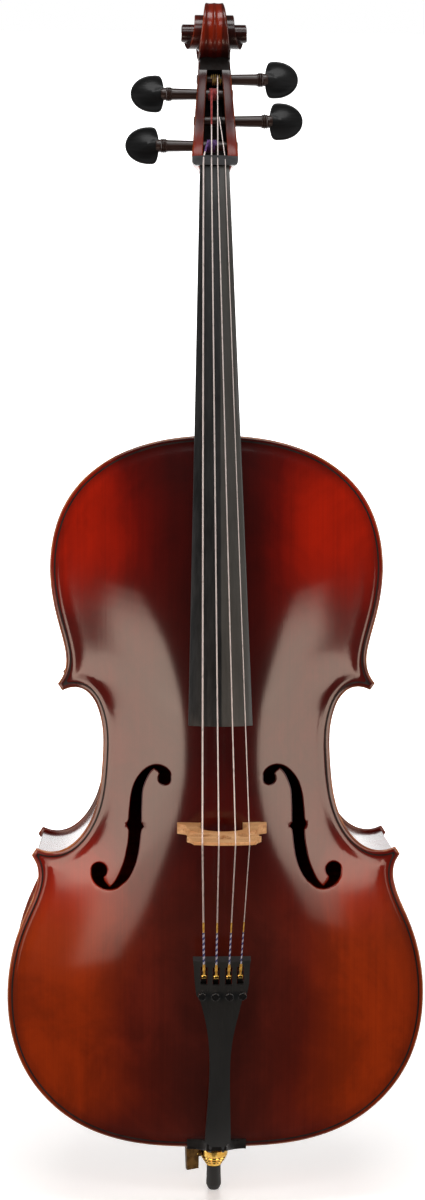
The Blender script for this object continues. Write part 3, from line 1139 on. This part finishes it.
# side ledges with their dish, and the walls of the next turn
av = np.arange(A0, AE - 0.1, 5.0)
for s in (-1, 1):
    V_, F, rg, hl = [], [], [], []
    prof_n = 9
    for a in av:
        r, hw = sr(a), sw_(a)
        if a + 360 <= AE:
            r2, hw2 = sr(a + 360), sw_(a + 360)
            if a < 300 - 360 + 60:
                pass
        else:
            r2, hw2 = 8.4, 34.3
            k = float(smooth(a, AE - 360, AE))
            hw2 = 34.3 + 1.4 * 0
        r_out = r - 1.35
        dish = min(3.2, 0.28 * max(r_out - r2, 0.0)) if hw < 33 else 1.6 * (r_out - r2) / 3.0
        for i in range(prof_n):
            u = i / (prof_n - 1.0)
            rr = r_out + (r2 - r_out) * u
            x_ = hw - dish * math.sin(math.pi * min(u * 1.08, 1.0)) ** 0.9
            y_, z_ = yz(a, rr)
            V_.append((HEAD_X + s * x_, y_, z_))
            rg.append(0.8 if i == 0 else 0.0)
            hl.append(0.55 + 0.35 * u if hw < 33 else 0.55)
        # wall up to the next turn's edge
        for x_, rr, g_ in ((hw2 - 1.0 if hw2 - 1.0 > hw else hw, r2, 0.2), (max(hw2 - 0.5, hw), r2 - 0.10, 0.7), (max(hw2, hw), r2 - (1.35 if a + 360 <= AE else 1.6), 1.0)):
            y_, z_ = yz(a, rr)
            V_.append((HEAD_X + s * x_, y_, z_))
            rg.append(0.6 * g_)
            hl.append(0.7 if g_ < 0.5 else 0.2)
    F = grid_faces(len(av), prof_n + 3, flip=s < 0)
    obs.append(mesh_obj("v2", V_, F, M_SCROLL, None, {"ridge": rg, "hollow": hl}))
    # outer wall of turns past the rim
    av2 = np.arange(A1 - 4, AE + 0.1, 5.0)
    V_, rg, hl = [], [], []
    for a in av2:
        r, hw = sr(a), sw_(a)
        for x_, rr, g_ in ((0.0, r, 0), (hw * 0.5, r, 0), (hw - 1.0, r, 0.15), (hw - 0.5, r - 0.1, 0.7), (hw, r - 1.35, 1.0)):
            y_, z_ = yz(a, rr)
            V_.append((HEAD_X + s * x_, y_, z_))
            rg.append(0.6 * g_)
            hl.append(0.72 if g_ < 0.5 else 0.25)
    obs.append(mesh_obj("v3", V_, grid_faces(len(av2), 5, flip=s > 0), M_SCROLL, None, {"ridge": rg, "hollow": hl}))
    # domed eye
    V_, rg, hl = [], [], []
    nA = 40
    dome = [(8.9, 30.0, 0.3), (8.7, 33.0, 0.3), (8.2, 34.0, 1.0), (7.2, 34.3, 1.0), (6.4, 33.9, 0.4), (6.0, 33.6, 0.0), (5.2, 33.9, 0.0), (3.8, 34.25, 0.0), (2.0, 34.4, 0.0), (0.5, 34.42, 0.0)]
    for rr, x_, g_ in dome:
        for k in range(nA):
            y_, z_ = yz(360.0 * k / nA, rr)
            V_.append((HEAD_X + s * x_, y_, z_))
            rg.append(0.7 * g_)
            hl.append(0.6)
    F = grid_faces(len(dome), nA, True, flip=s > 0)
    F.append(tuple(range((len(dome) - 1) * nA, len(dome) * nA)) if s > 0 else tuple(range((len(dome) - 1) * nA, len(dome) * nA))[::-1])
    obs.append(mesh_obj("v4", V_, F, M_SCROLL, None, {"ridge": rg, "hollow": hl}))
head = join("neck_and_scroll", [neck_shaft, pegbox] + obs)
put(head, "instrument", "neck_varnished", "neck")

# ------------------------------------------------------------------ sweeps and lathes
def frames_along(P):
    """Parallel transported frames along a polyline."""
    P = np.asarray(P, float)
    T = np.gradient(P, axis=0)
    T /= np.linalg.norm(T, axis=1)[:, None]
    n0 = np.cross(T[0], (1.0, 0, 0))
    if np.linalg.norm(n0) < 0.2:
        n0 = np.cross(T[0], (0, 0, 1.0))
    N = [n0 / np.linalg.norm(n0)]
    for k in range(1, len(P)):
        v = N[-1] - T[k] * np.dot(N[-1], T[k])
        N.append(v / np.linalg.norm(v))
    N = np.array(N)
    return T, N, np.cross(T, N)


def tube(name, P, r, mat, sides=14, lobes=0, amp=0.0, pitch=6.3):
    """Round tube along a polyline, closed at both ends; lobes twist with the pitch."""
    P = np.asarray(P, float)
    T, N, B = frames_along(P)
    s = np.concatenate([[0], np.cumsum(np.linalg.norm(np.diff(P, axis=0), axis=1))])
    rr = np.broadcast_to(np.asarray(r, float), (len(P),))
    V_, tw = [], []
    for k in range(len(P)):
        for j in range(sides):
            a = 2 * math.pi * j / sides
            ph = a - 2 * math.pi * s[k] / pitch
            q = rr[k] + amp * (abs(math.cos(ph * lobes / 2.0)) - 0.5 if lobes else 0.0)
            V_.append(P[k] + q * (N[k] * math.cos(a) + B[k] * math.sin(a)))
            tw.append(a / (2 * math.pi) - s[k] / pitch)
    F = grid_faces(len(P), sides, True)
    F.append(tuple(range(sides))[::-1])
    F.append(tuple(range((len(P) - 1) * sides, len(P) * sides)))
    me_tw = np.asarray(tw)
    ob = mesh_obj(name, V_, F, mat, None, {"twist": me_tw})
    recalc(ob)
    ob.data.set_sharp_from_angle(angle=math.radians(60))
    return ob


def lathe_x(name, prof, y, z, mat, n=40, sharp=32):
    """Turned body about an axis along X from (x, r) pairs."""
    V_, F = [], []
    for x, r in prof:
        for k in range(n):
            a = 2 * math.pi * k / n
            V_.append((x, y + r * math.cos(a), z + r * math.sin(a)))
    F = grid_faces(len(prof), n, True)
    F.append(tuple(range(n))[::-1])
    F.append(tuple(range((len(prof) - 1) * n, len(prof) * n)))
    ob = mesh_obj(name, V_, F, mat)
    recalc(ob)
    ob.data.set_sharp_from_angle(angle=math.radians(sharp))
    return ob


# ------------------------------------------------------------------ pegs
PEGS = {"c": (-36.0, 1124.8, -1, -60.6), "g": (-19.0, 1181.2, -1, -55.2), "d": (-12.0, 1198.0, 1, 51.0), "a": (-27.0, 1152.1, 1, 55.0)}
HEAD_OUT = [(0.0, 6.3), (0.006, 8.6), (0.02, 11.0), (0.04, 13.6), (0.065, 15.8), (0.095, 17.4), (0.13, 18.4), (0.18, 18.95)] + [(0.3 + 0.7 * math.sin(a_), 19.1 * math.cos(a_)) for a_ in np.radians([0, 14, 28, 42, 54, 64, 73, 80, 86, 90])]
WIND = {"c": (-11.3, -1.2, 5, 0.85), "g": (-8.4, 0.6, 6, 0.70), "d": (-5.6, 4.6, 5, 0.60), "a": (0.2, 6.2, 6, 0.47)}


def peg_head(name, y, z, s, hi):
    x0, W_ = hi + s * 0.3, 34.9
    up = cspline([(u * W_, v) for u, v in HEAD_OUT], n=54)
    loop = np.vstack([up, up[-2::-1] * np.array([1, -1])])
    N = len(loop)
    c = np.array([13.5, 0.0])
    rho = [0.0, 0.22, 0.40, 0.56, 0.70, 0.80, 0.88, 0.94, 0.975, 0.993, 1.0]

    def h(p, q):
        rim = 2.55
        if q > 0.94:
            rim = 0.9 + 1.65 * math.sqrt(max(1 - ((q - 0.94) / 0.06) ** 2, 0))
        along = max(p[0], 0.0)
        neckb = 2.6 * math.exp(-(p[1] / (4.6 + 0.14 * along)) ** 2) * math.exp(-(along / 13.0) ** 2)
        mid = 0.9 * math.exp(-((p[0] - 15.0) / 8.5) ** 2 - (p[1] / 9.0) ** 2)
        dish = 0.22 * math.exp(-((q - 0.72) / 0.16) ** 2)
        return rim + (neckb + mid) * (1.0 if q < 0.9 else max(0.0, 1 - (q - 0.9) / 0.1) if p[0] > 2 else 1.0 - 0.3 * (q - 0.9) / 0.1) - dish
    V_, F = [], []
    rings = []
    for side in (-1, 1):
        ids = []
        for q in rho[1:] if side < 0 else rho[1:-1]:
            row = []
            for p0 in loop:
                p = c + (p0 - c) * q
                yy = h(p, q) * side if q < 1.0 else 0.0
                row.append(len(V_))
                V_.append((x0 + s * p[0], y + yy, z + p[1]))
            ids.append(row)
        ctr = len(V_)
        V_.append((x0 + s * c[0], y + side * h(c, 0.0), z))
        for k in range(N):
            F.append((ctr, ids[0][k], ids[0][(k + 1) % N]))
        for a, b in zip(ids, ids[1:]):
            for k in range(N):
                F.append((a[k], a[(k + 1) % N], b[(k + 1) % N], b[k]))
        rings.append(ids)
    a, b = rings[0][-1], rings[1][-1]
    for k in range(N):
        F.append((a[k], a[(k + 1) % N], b[(k + 1) % N], b[k]))
    ob = mesh_obj(name, V_, F, M_PEG)
    recalc(ob)
    ob.data.set_sharp_from_angle(angle=math.radians(60))
    return ob


for n_, (y_, z_, s, hi) in PEGS.items():
    far_hw = cv(PB_W, z_)
    xr = hi - s * 9.0
    xf = HEAD_X - s * (far_hw + 0.55)
    beads = [(3.2, 5.6), (0.6, 6.5), (-1.6, 6.5), (-2.0, 6.45), (-2.4, 6.95), (-2.9, 7.4), (-3.4, 7.45), (-3.85, 7.0), (-4.15, 6.5), (-4.4, 6.95), (-4.9, 7.75), (-5.4, 7.8), (-5.85, 7.2), (-6.15, 6.5), (-6.4, 6.95), (-6.85, 7.35), (-7.3, 7.25), (-7.7, 6.75), (-7.95, 6.3), (-8.9, 6.2), (-9.0, 6.1)]
    prof = [(hi + s * u, r) for u, r in beads]
    L = abs(xf - xr)
    for k in range(1, 25):
        t = k / 24.0
        prof.append((xr - s * L * t, 6.08 - 0.022 * L * t))
    prof += [(xf - s * 0.25, 6.08 - 0.022 * L - 0.35), (xf - s * 0.35, 6.08 - 0.022 * L - 0.9)]
    prof = [p for p in prof if abs(p[0] - xf) <= L + 20]
    turned = lathe_x("peg_shaft_turned_" + n_, prof, y_, z_, M_SHAFT, 44)
    put(turned, "peg_%s_set" % n_, "ebony_gloss", "peg_" + n_)
    put(peg_head("peg_thumbpiece_" + n_, y_, z_, s, hi), "peg_%s_set" % n_, "ebony_gloss")
    # wound string
    x0, x1, nt, rs = WIND[n_]
    ns = nt * 28
    P = []
    for k in range(ns + 1):
        t = k / ns
        x_ = x0 + (x1 - x0) * t
        rr_ = 6.08 - 0.022 * abs(x_ - xr) + rs * 0.96
        a = -2 * math.pi * nt * t * s + math.pi
        P.append((x_, y_ + rr_ * math.cos(a), z_ + rr_ * math.sin(a)))
    wmat = {"c": SILK["c"], "g": SILK["g"], "d": SILK["d"], "a": M_TUNER}[n_]
    put(tube("peg_turns_" + n_, P, rs, wmat, 10), "peg_%s_set" % n_, "string_metal", "peg_winding_" + n_)

# ------------------------------------------------------------------ strings
STR = {
    "c": ([(-14.7, -132.3, 274.43), (-17.7, -172.02, 416), (-14.7, -56.67, 1104), (-14.39, -55.77, 1110.5), (-9.6, -42.74, 1129.44)], 0.85),
    "g": ([(-2.35, -133.37, 274.15), (-1.4, -174.62, 416), (-6.4, -57.96, 1104), (-6.35, -57.06, 1110.5), (-5.6, -26.17, 1184.21)], 0.70),
    "d": ([(10.55, -133.26, 274.18), (15.3, -174.21, 416), (0, -58.07, 1104), (0.06, -57.17, 1110.5), (1.0, -18.89, 1200.92)], 0.60),
    "a": ([(22.45, -132.06, 274.5), (29.5, -171.34, 416), (7.9, -57.14, 1104), (7.57, -56.24, 1110.5), (2.4, -33.27, 1155.31)], 0.47)}


def rounded(pts, bends, m_=7):
    pts = [np.array(p, float) for p in pts]
    out = [pts[0]]
    for k in range(1, len(pts) - 1):
        a, b, c = pts[k - 1], pts[k], pts[k + 1]
        u, w_ = (a - b) / np.linalg.norm(a - b), (c - b) / np.linalg.norm(c - b)
        ang = math.acos(np.clip(np.dot(u, w_), -1, 1))
        t = bends[k - 1] / math.tan(ang / 2)
        p, q = b + u * t, b + w_ * t
        for j in range(m_ + 1):
            f = j / m_
            out.append(p * (1 - f) ** 2 + 2 * b * f * (1 - f) + q * f * f)
    out.append(pts[-1])
    return np.array(out)


def leg(a, b, t0, t1, step):
    a, b = np.array(a, float), np.array(b, float)
    L = np.linalg.norm(b - a) * (t1 - t0)
    n_k = max(int(L / step), 1)
    return np.array([a + (b - a) * (t0 + (t1 - t0) * k / n_k) for k in range(n_k + 1)])


for n_, (pts, r_) in STR.items():
    body = rounded(pts, [9.0, 5.0, 4.0])
    put(tube("string_wire_" + n_, body, r_, M_STRING, 14), "instrument", "string_metal", "string_" + n_)
    a_, b_ = pts[0], pts[1]
    put(tube("string_twist_" + n_, leg(a_, b_, 0.075, 0.322, 0.35), r_ + 0.14, M_TWIST, 16, 2, 0.26, 6.3), "instrument", "string_metal")
    bd = leg(a_, b_, 0.322, 0.402, 1.4)
    rb = np.full(len(bd), r_ + 0.11)
    rb[0] = rb[-1] = r_ + 0.03
    put(tube("string_band_" + n_, bd, rb, M_BAND, 16), "instrument", "string_metal")
    lw = leg(a_, b_, -0.012, 0.075, 0.8)
    tt = np.linspace(0, 1, len(lw))
    rl = 0.95 + 0.55 * np.sin(np.pi * np.clip(tt * 0.86 + 0.12, 0, 1)) ** 0.7 + 0.07 * np.cos(tt * 60)
    put(tube("string_loop_" + n_, lw, rl, M_BAND, 18), "instrument", "string_metal")
    # silk by the peg
    c_, d_ = pts[3], pts[4]
    if n_ in "cg":
        t0 = 0.48 if n_ == "g" else 0.30
        sk = leg(c_, d_, t0, 1.0, 0.8)
        rs = np.full(len(sk), r_ + 0.14)
        if n_ == "g":
            rs = r_ + 0.12 + 0.55 * np.linspace(0, 1, len(sk)) ** 1.1
        rs[0] = r_ + 0.03
        put(tube("string_silk_" + n_, sk, rs, SILK[n_], 14), "instrument", "string_metal")

# ------------------------------------------------------------------ softened edges on the CAD pieces
def soften(node, w_, ang=34, seg=3, dis=0.6):
    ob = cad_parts[node] if isinstance(node, str) else node
    wd = ob.modifiers.new("weld", 'WELD')
    wd.merge_threshold = 2e-6
    dc = ob.modifiers.new("planar", 'DECIMATE')
    dc.decimate_type = 'DISSOLVE'
    dc.angle_limit = math.radians(dis)
    bv_ = ob.modifiers.new("edge", 'BEVEL')
    bv_.width = w_ * MM
    bv_.segments = seg
    bv_.limit_method = 'ANGLE'
    bv_.angle_limit = math.radians(ang)
    bv_.use_clamp_overlap = True
    bv_.harden_normals = True
    bv_.miter_outer = 'MITER_ARC'


# tailpiece with a shorter head above its slots
T_O, T_D, T_W = np.array([0, -139.0, 293.4]), np.array([0, 0.2564, -0.96657]), np.array([0, -0.96657, -0.2564])
tp0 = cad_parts["tailpiece"]
tv = np.array([(tp0.matrix_world @ v.co)[:] for v in tp0.data.vertices]) / MM
ts = (tv - T_O) @ T_D
tn = np.where(ts < 37, np.interp(ts, [-1.7, 0, 3, 9, 30, 37], [5.1, 6.6, 8.6, 12.0, 33.0, 37.0]), ts)
tv = tv + np.outer(tn - ts, T_D) - np.outer(0.4 * np.clip((9 - ts) / 9, 0, 1), T_W)
tail_ob = mesh_obj("tailpiece_carved", tv, [tuple(p.vertices) for p in tp0.data.polygons], M_TAIL, 40)
put(tail_ob, "instrument", "tail_black", "tailpiece")
soften(tail_ob, 0.55)
for n_, w_ in (("bridge", 0.45), ("nut", 0.55), ("saddle", 0.7), ("fingerboard", 0.9), ("clamp_wing", 0.7)):
    soften(n_, w_)
for n_ in "cgda":
    soften("tuner_lever_" + n_, 0.18, seg=2)
    soften("string_ball_" + n_, 0.25, seg=2)

# ------------------------------------------------------------------ stage and light
def stage_mesh(name, verts, faces, mat, smooth_=True):
    ob = mesh_obj(name, verts, faces, mat, scale=1.0)
    return ob


m = Mat("studio_floor")
g = m.noise((1.2, 1.2, 1.2), 2.0)
m_floor = m
FLOOR = m.done(m.mix(g, (0.90, 0.89, 0.88), (0.93, 0.925, 0.92)), 0.42, spec=0.35)
m = Mat("studio_backdrop")
g = m.noise((0.6, 0.6, 0.6), 2.0)
BACK = m.done(m.mix(g, (0.90, 0.90, 0.90), (0.94, 0.94, 0.94)), 0.9, spec=0.05)
BACK.node_tree.nodes["Principled BSDF"].inputs["Emission Color"].default_value = (1, 1, 1, 1)
BACK.node_tree.nodes["Principled BSDF"].inputs["Emission Strength"].default_value = 1.15
FLOOR.node_tree.nodes["Principled BSDF"].inputs["Emission Color"].default_value = (1, 0.995, 0.99, 1)
fx_, fy_, fz_ = m_floor.xyz()
far_ = m_floor.math('SQRT', m_floor.math('ADD', m_floor.math('MULTIPLY', fx_, fx_), m_floor.math('MULTIPLY', fy_, fy_)))
m_floor.put(FLOOR.node_tree.nodes["Principled BSDF"].inputs["Emission Strength"], m_floor.rng(far_, 0.6, 1.8, 0.36, 0.95))
fv = [(-3, -0.125, 0), (3, -0.125, 0), (3, 2.2, 0), (-3, 2.2, 0)]
stage_mesh("floor", fv, [(0, 1, 2, 3)], FLOOR)
stage_mesh("backdrop", [(-0.8, 1.9, 0.002), (0.8, 1.9, 0.002), (0.8, 2.0, 1.7), (-0.8, 2.0, 1.7)], [(0, 1, 2, 3)], BACK)

w = bpy.data.worlds.new("world")
bpy.context.scene.world = w
w.use_nodes = True
wt = w.node_tree
bg = wt.nodes["Background"]
bg.inputs[0].default_value = (1, 1, 1, 1)
bg.inputs[1].default_value = 0.05
bg2 = wt.nodes.new("ShaderNodeBackground")
bg2.inputs[0].default_value = (1, 1, 1, 1)
bg2.inputs[1].default_value = 1.0
lp = wt.nodes.new("ShaderNodeLightPath")
mx = wt.nodes.new("ShaderNodeMixShader")
wt.links.new(lp.outputs["Is Camera Ray"], mx.inputs[0])
wt.links.new(bg.outputs[0], mx.inputs[1])
wt.links.new(bg2.outputs[0], mx.inputs[2])
wt.links.new(mx.outputs[0], wt.nodes["World Output"].inputs["Surface"])


def area(name, loc, at, sx, sy, rad, col=(1, 1, 1), spread=180):
    ld = bpy.data.lights.new(name, 'AREA')
    ld.shape = 'RECTANGLE'
    ld.size, ld.size_y = sx, sy
    ld.energy = rad * math.pi * sx * sy
    ld.color = col
    ld.spread = math.radians(spread)
    ob = bpy.data.objects.new(name, ld)
    bpy.context.scene.collection.objects.link(ob)
    ob.location = loc
    d = Vector(at) - Vector(loc)
    ob.rotation_euler = d.to_track_quat('-Z', 'Y').to_euler()
    return ob


WARM = (1.0, 0.775, 0.63)


def polar(az, L, z):
    a = math.radians(az)
    return (L * math.sin(a), -L * math.cos(a), z)


# two tall soft boxes built of strips, widest at mid height
KEYS_L = [(0.11, -27, -21, 0.25), (0.20, -26.5, -18, 0.50), (0.30, -27, -17.5, 0.62), (0.34, -31, -16, 1.0), (0.36, -47, -15.3, 1.0), (0.43, -48, -15.2, 1.0),
          (0.455, -29, -15.5, 1.0), (0.53, -28, -16.5, 1.0), (0.57, -27.5, -18, 0.85), (0.61, -26.5, -19.5, 0.5), (0.645, -25.5, -20.5, 0.15)]
KEYS_R = [(0.20, 25, 29.5, 0.2), (0.27, 24.5, 30, 0.5), (0.32, 23.3, 31.5, 0.9), (0.355, 23, 46, 1.0), (0.43, 23, 47, 1.0), (0.455, 23, 32, 1.0),
          (0.53, 23, 31.5, 1.0), (0.57, 23.2, 30.5, 0.85), (0.61, 23.8, 29.5, 0.5), (0.645, 24.3, 29, 0.15)]
RB = 0.8
for tag, tab, rad_ in (("left", KEYS_L, 5.6), ("right", KEYS_R, 5.3)):
    kz = [q[0] for q in tab]
    n_st = int(round((kz[-1] - kz[0]) / 0.03))
    for k_ in range(n_st):
        z0_ = kz[0] + (kz[-1] - kz[0]) * k_ / n_st
        z1_ = kz[0] + (kz[-1] - kz[0]) * (k_ + 1) / n_st
        zm = 0.5 * (z0_ + z1_)
        a0_, a1_, g_ = [float(np.interp(zm, kz, [q[c_] for q in tab])) for c_ in (1, 2, 3)]
        am = 0.5 * (a0_ + a1_)
        wd_ = 2 * RB * math.tan(math.radians(abs(a1_ - a0_) / 2))
        lo_ = area("strip_%s_%d" % (tag, k_), polar(am, RB, zm), (0, 0, zm), wd_, z1_ - z0_, rad_ * g_, WARM)
        lo_.visible_camera = False
for lo_ in (area("side_left", (-2.3, -0.5, 1.1), (0, 0, 0.7), 1.3, 2.4, 2.4), area("side_right", (2.3, -0.5, 1.1), (0, 0, 0.7), 1.3, 2.4, 2.4),
            area("top_front", (0.0, -2.6, 2.75), (0, 0, 0.9), 2.4, 0.75, 3.6), area("top_high", (0.0, -1.0, 3.4), (0, 0, 0.7), 2.4, 1.0, 6.0)):
    lo_.visible_camera = False

bpy.context.scene.view_settings.view_transform = 'Standard'
bpy.context.scene.view_settings.look = 'None'
bpy.context.scene.view_settings.exposure = 0.0
bpy.context.scene.view_settings.gamma = 1.0
